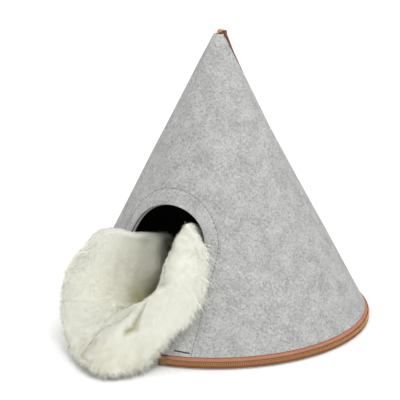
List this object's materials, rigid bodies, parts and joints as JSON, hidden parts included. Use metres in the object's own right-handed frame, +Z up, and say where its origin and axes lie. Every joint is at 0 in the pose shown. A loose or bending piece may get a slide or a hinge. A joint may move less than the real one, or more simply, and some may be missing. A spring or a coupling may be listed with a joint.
{
  "type": "felt cat cave",
  "caption": "Standing felt cone for a cat, with an arched doorway, a zipped felt floor, a strap at the tip and a plush fleece mat that spills out of the doorway.",
  "frame": {"origin": "centre of the floor disc's underside, on the surface that the cave stands on", "axes": "+Z up along the cone's axis, -Y out through the doorway, +X to the right seen from the front"},
  "size_m": [0.4801, 0.5775, 0.4554],
  "materials": {
    "felt": "light grey heathered needle felt",
    "zip_tape": "tan woven zip tape",
    "zip_teeth": "tan coil, satin",
    "slider_metal": "satin",
    "strap_leather": "tan, smooth",
    "fleece": "cream plush pile"
  },
  "bodies": {
    "root": {"cone_wall": "felt", "door_facing": "felt", "floor_disc": "felt", "zip_tape_upper": "zip_tape", "zip_tape_lower": "zip_tape", "zip_teeth": "zip_teeth", "zip_slider": "slider_metal", "zip_pull": "slider_metal", "tip_loop": "strap_leather", "fleece_mat": "fleece", "fleece_locks_right": "fleece", "fleece_locks_left": "fleece", "fleece_locks_front": "fleece"}
  },
  "joints": []
}
